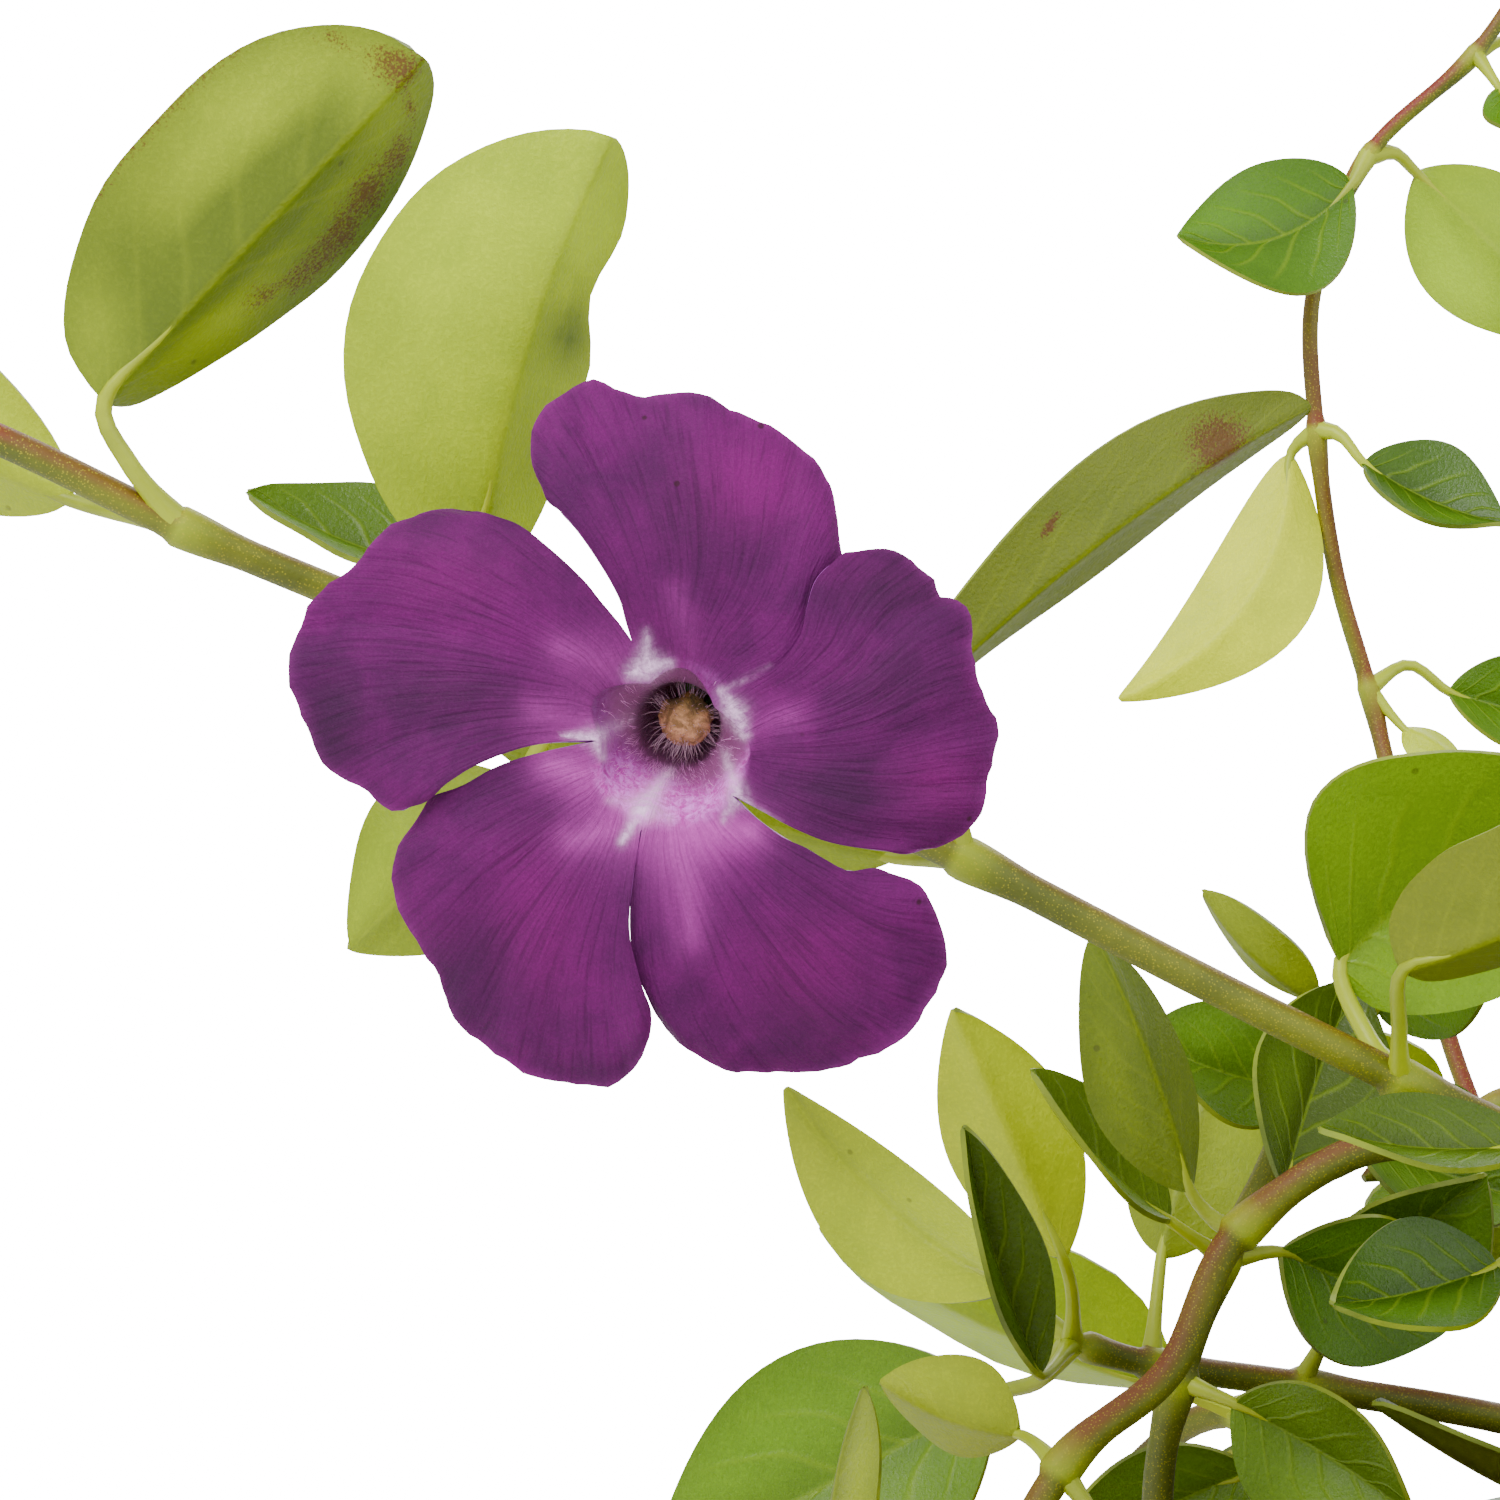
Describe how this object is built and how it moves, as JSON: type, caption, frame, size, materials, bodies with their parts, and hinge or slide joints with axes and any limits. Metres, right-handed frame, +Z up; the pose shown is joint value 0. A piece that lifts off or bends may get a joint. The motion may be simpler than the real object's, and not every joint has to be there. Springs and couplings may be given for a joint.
{
  "type": "potted lesser periwinkle",
  "caption": "Lesser periwinkle growing in a round clay pot: trailing and upright stems with paired oval leaves, and purple pinwheel blooms.",
  "frame": {"origin": "middle of the pot's underside, on the surface that the pot stands on", "axes": "+Z up; the first bloom faces -Y, the front"},
  "size_m": [0.2566, 0.2104, 0.2058],
  "materials": {
    "clay": "matte fired clay",
    "soil": "rough, damp",
    "foliage": "satin, glossy above",
    "petals": "matte, velvety",
    "stigma": "matte, hairy"
  },
  "bodies": {
    "root": {"pot": "clay", "soil": "soil", "flowering_shoot": "foliage", "arching_shoot": "foliage", "level_shoot": "foliage", "short_shoot": "foliage", "tall_shoot": "foliage", "trailing_shoot_1": "foliage", "trailing_shoot_2": "foliage", "trailing_shoot_3": "foliage", "trailing_shoot_4": "foliage", "trailing_shoot_5": "foliage", "trailing_shoot_6": "foliage", "trailing_shoot_7": "foliage", "trailing_shoot_8": "foliage", "upright_shoot_9": "foliage", "upright_shoot_10": "foliage", "upright_shoot_11": "foliage", "upright_shoot_12": "foliage", "upright_shoot_13": "foliage", "upright_shoot_14": "foliage", "bloom_1_corolla": "petals", "bloom_1_pistil": "stigma", "bloom_2_corolla": "petals", "bloom_2_pistil": "stigma"}
  },
  "joints": []
}
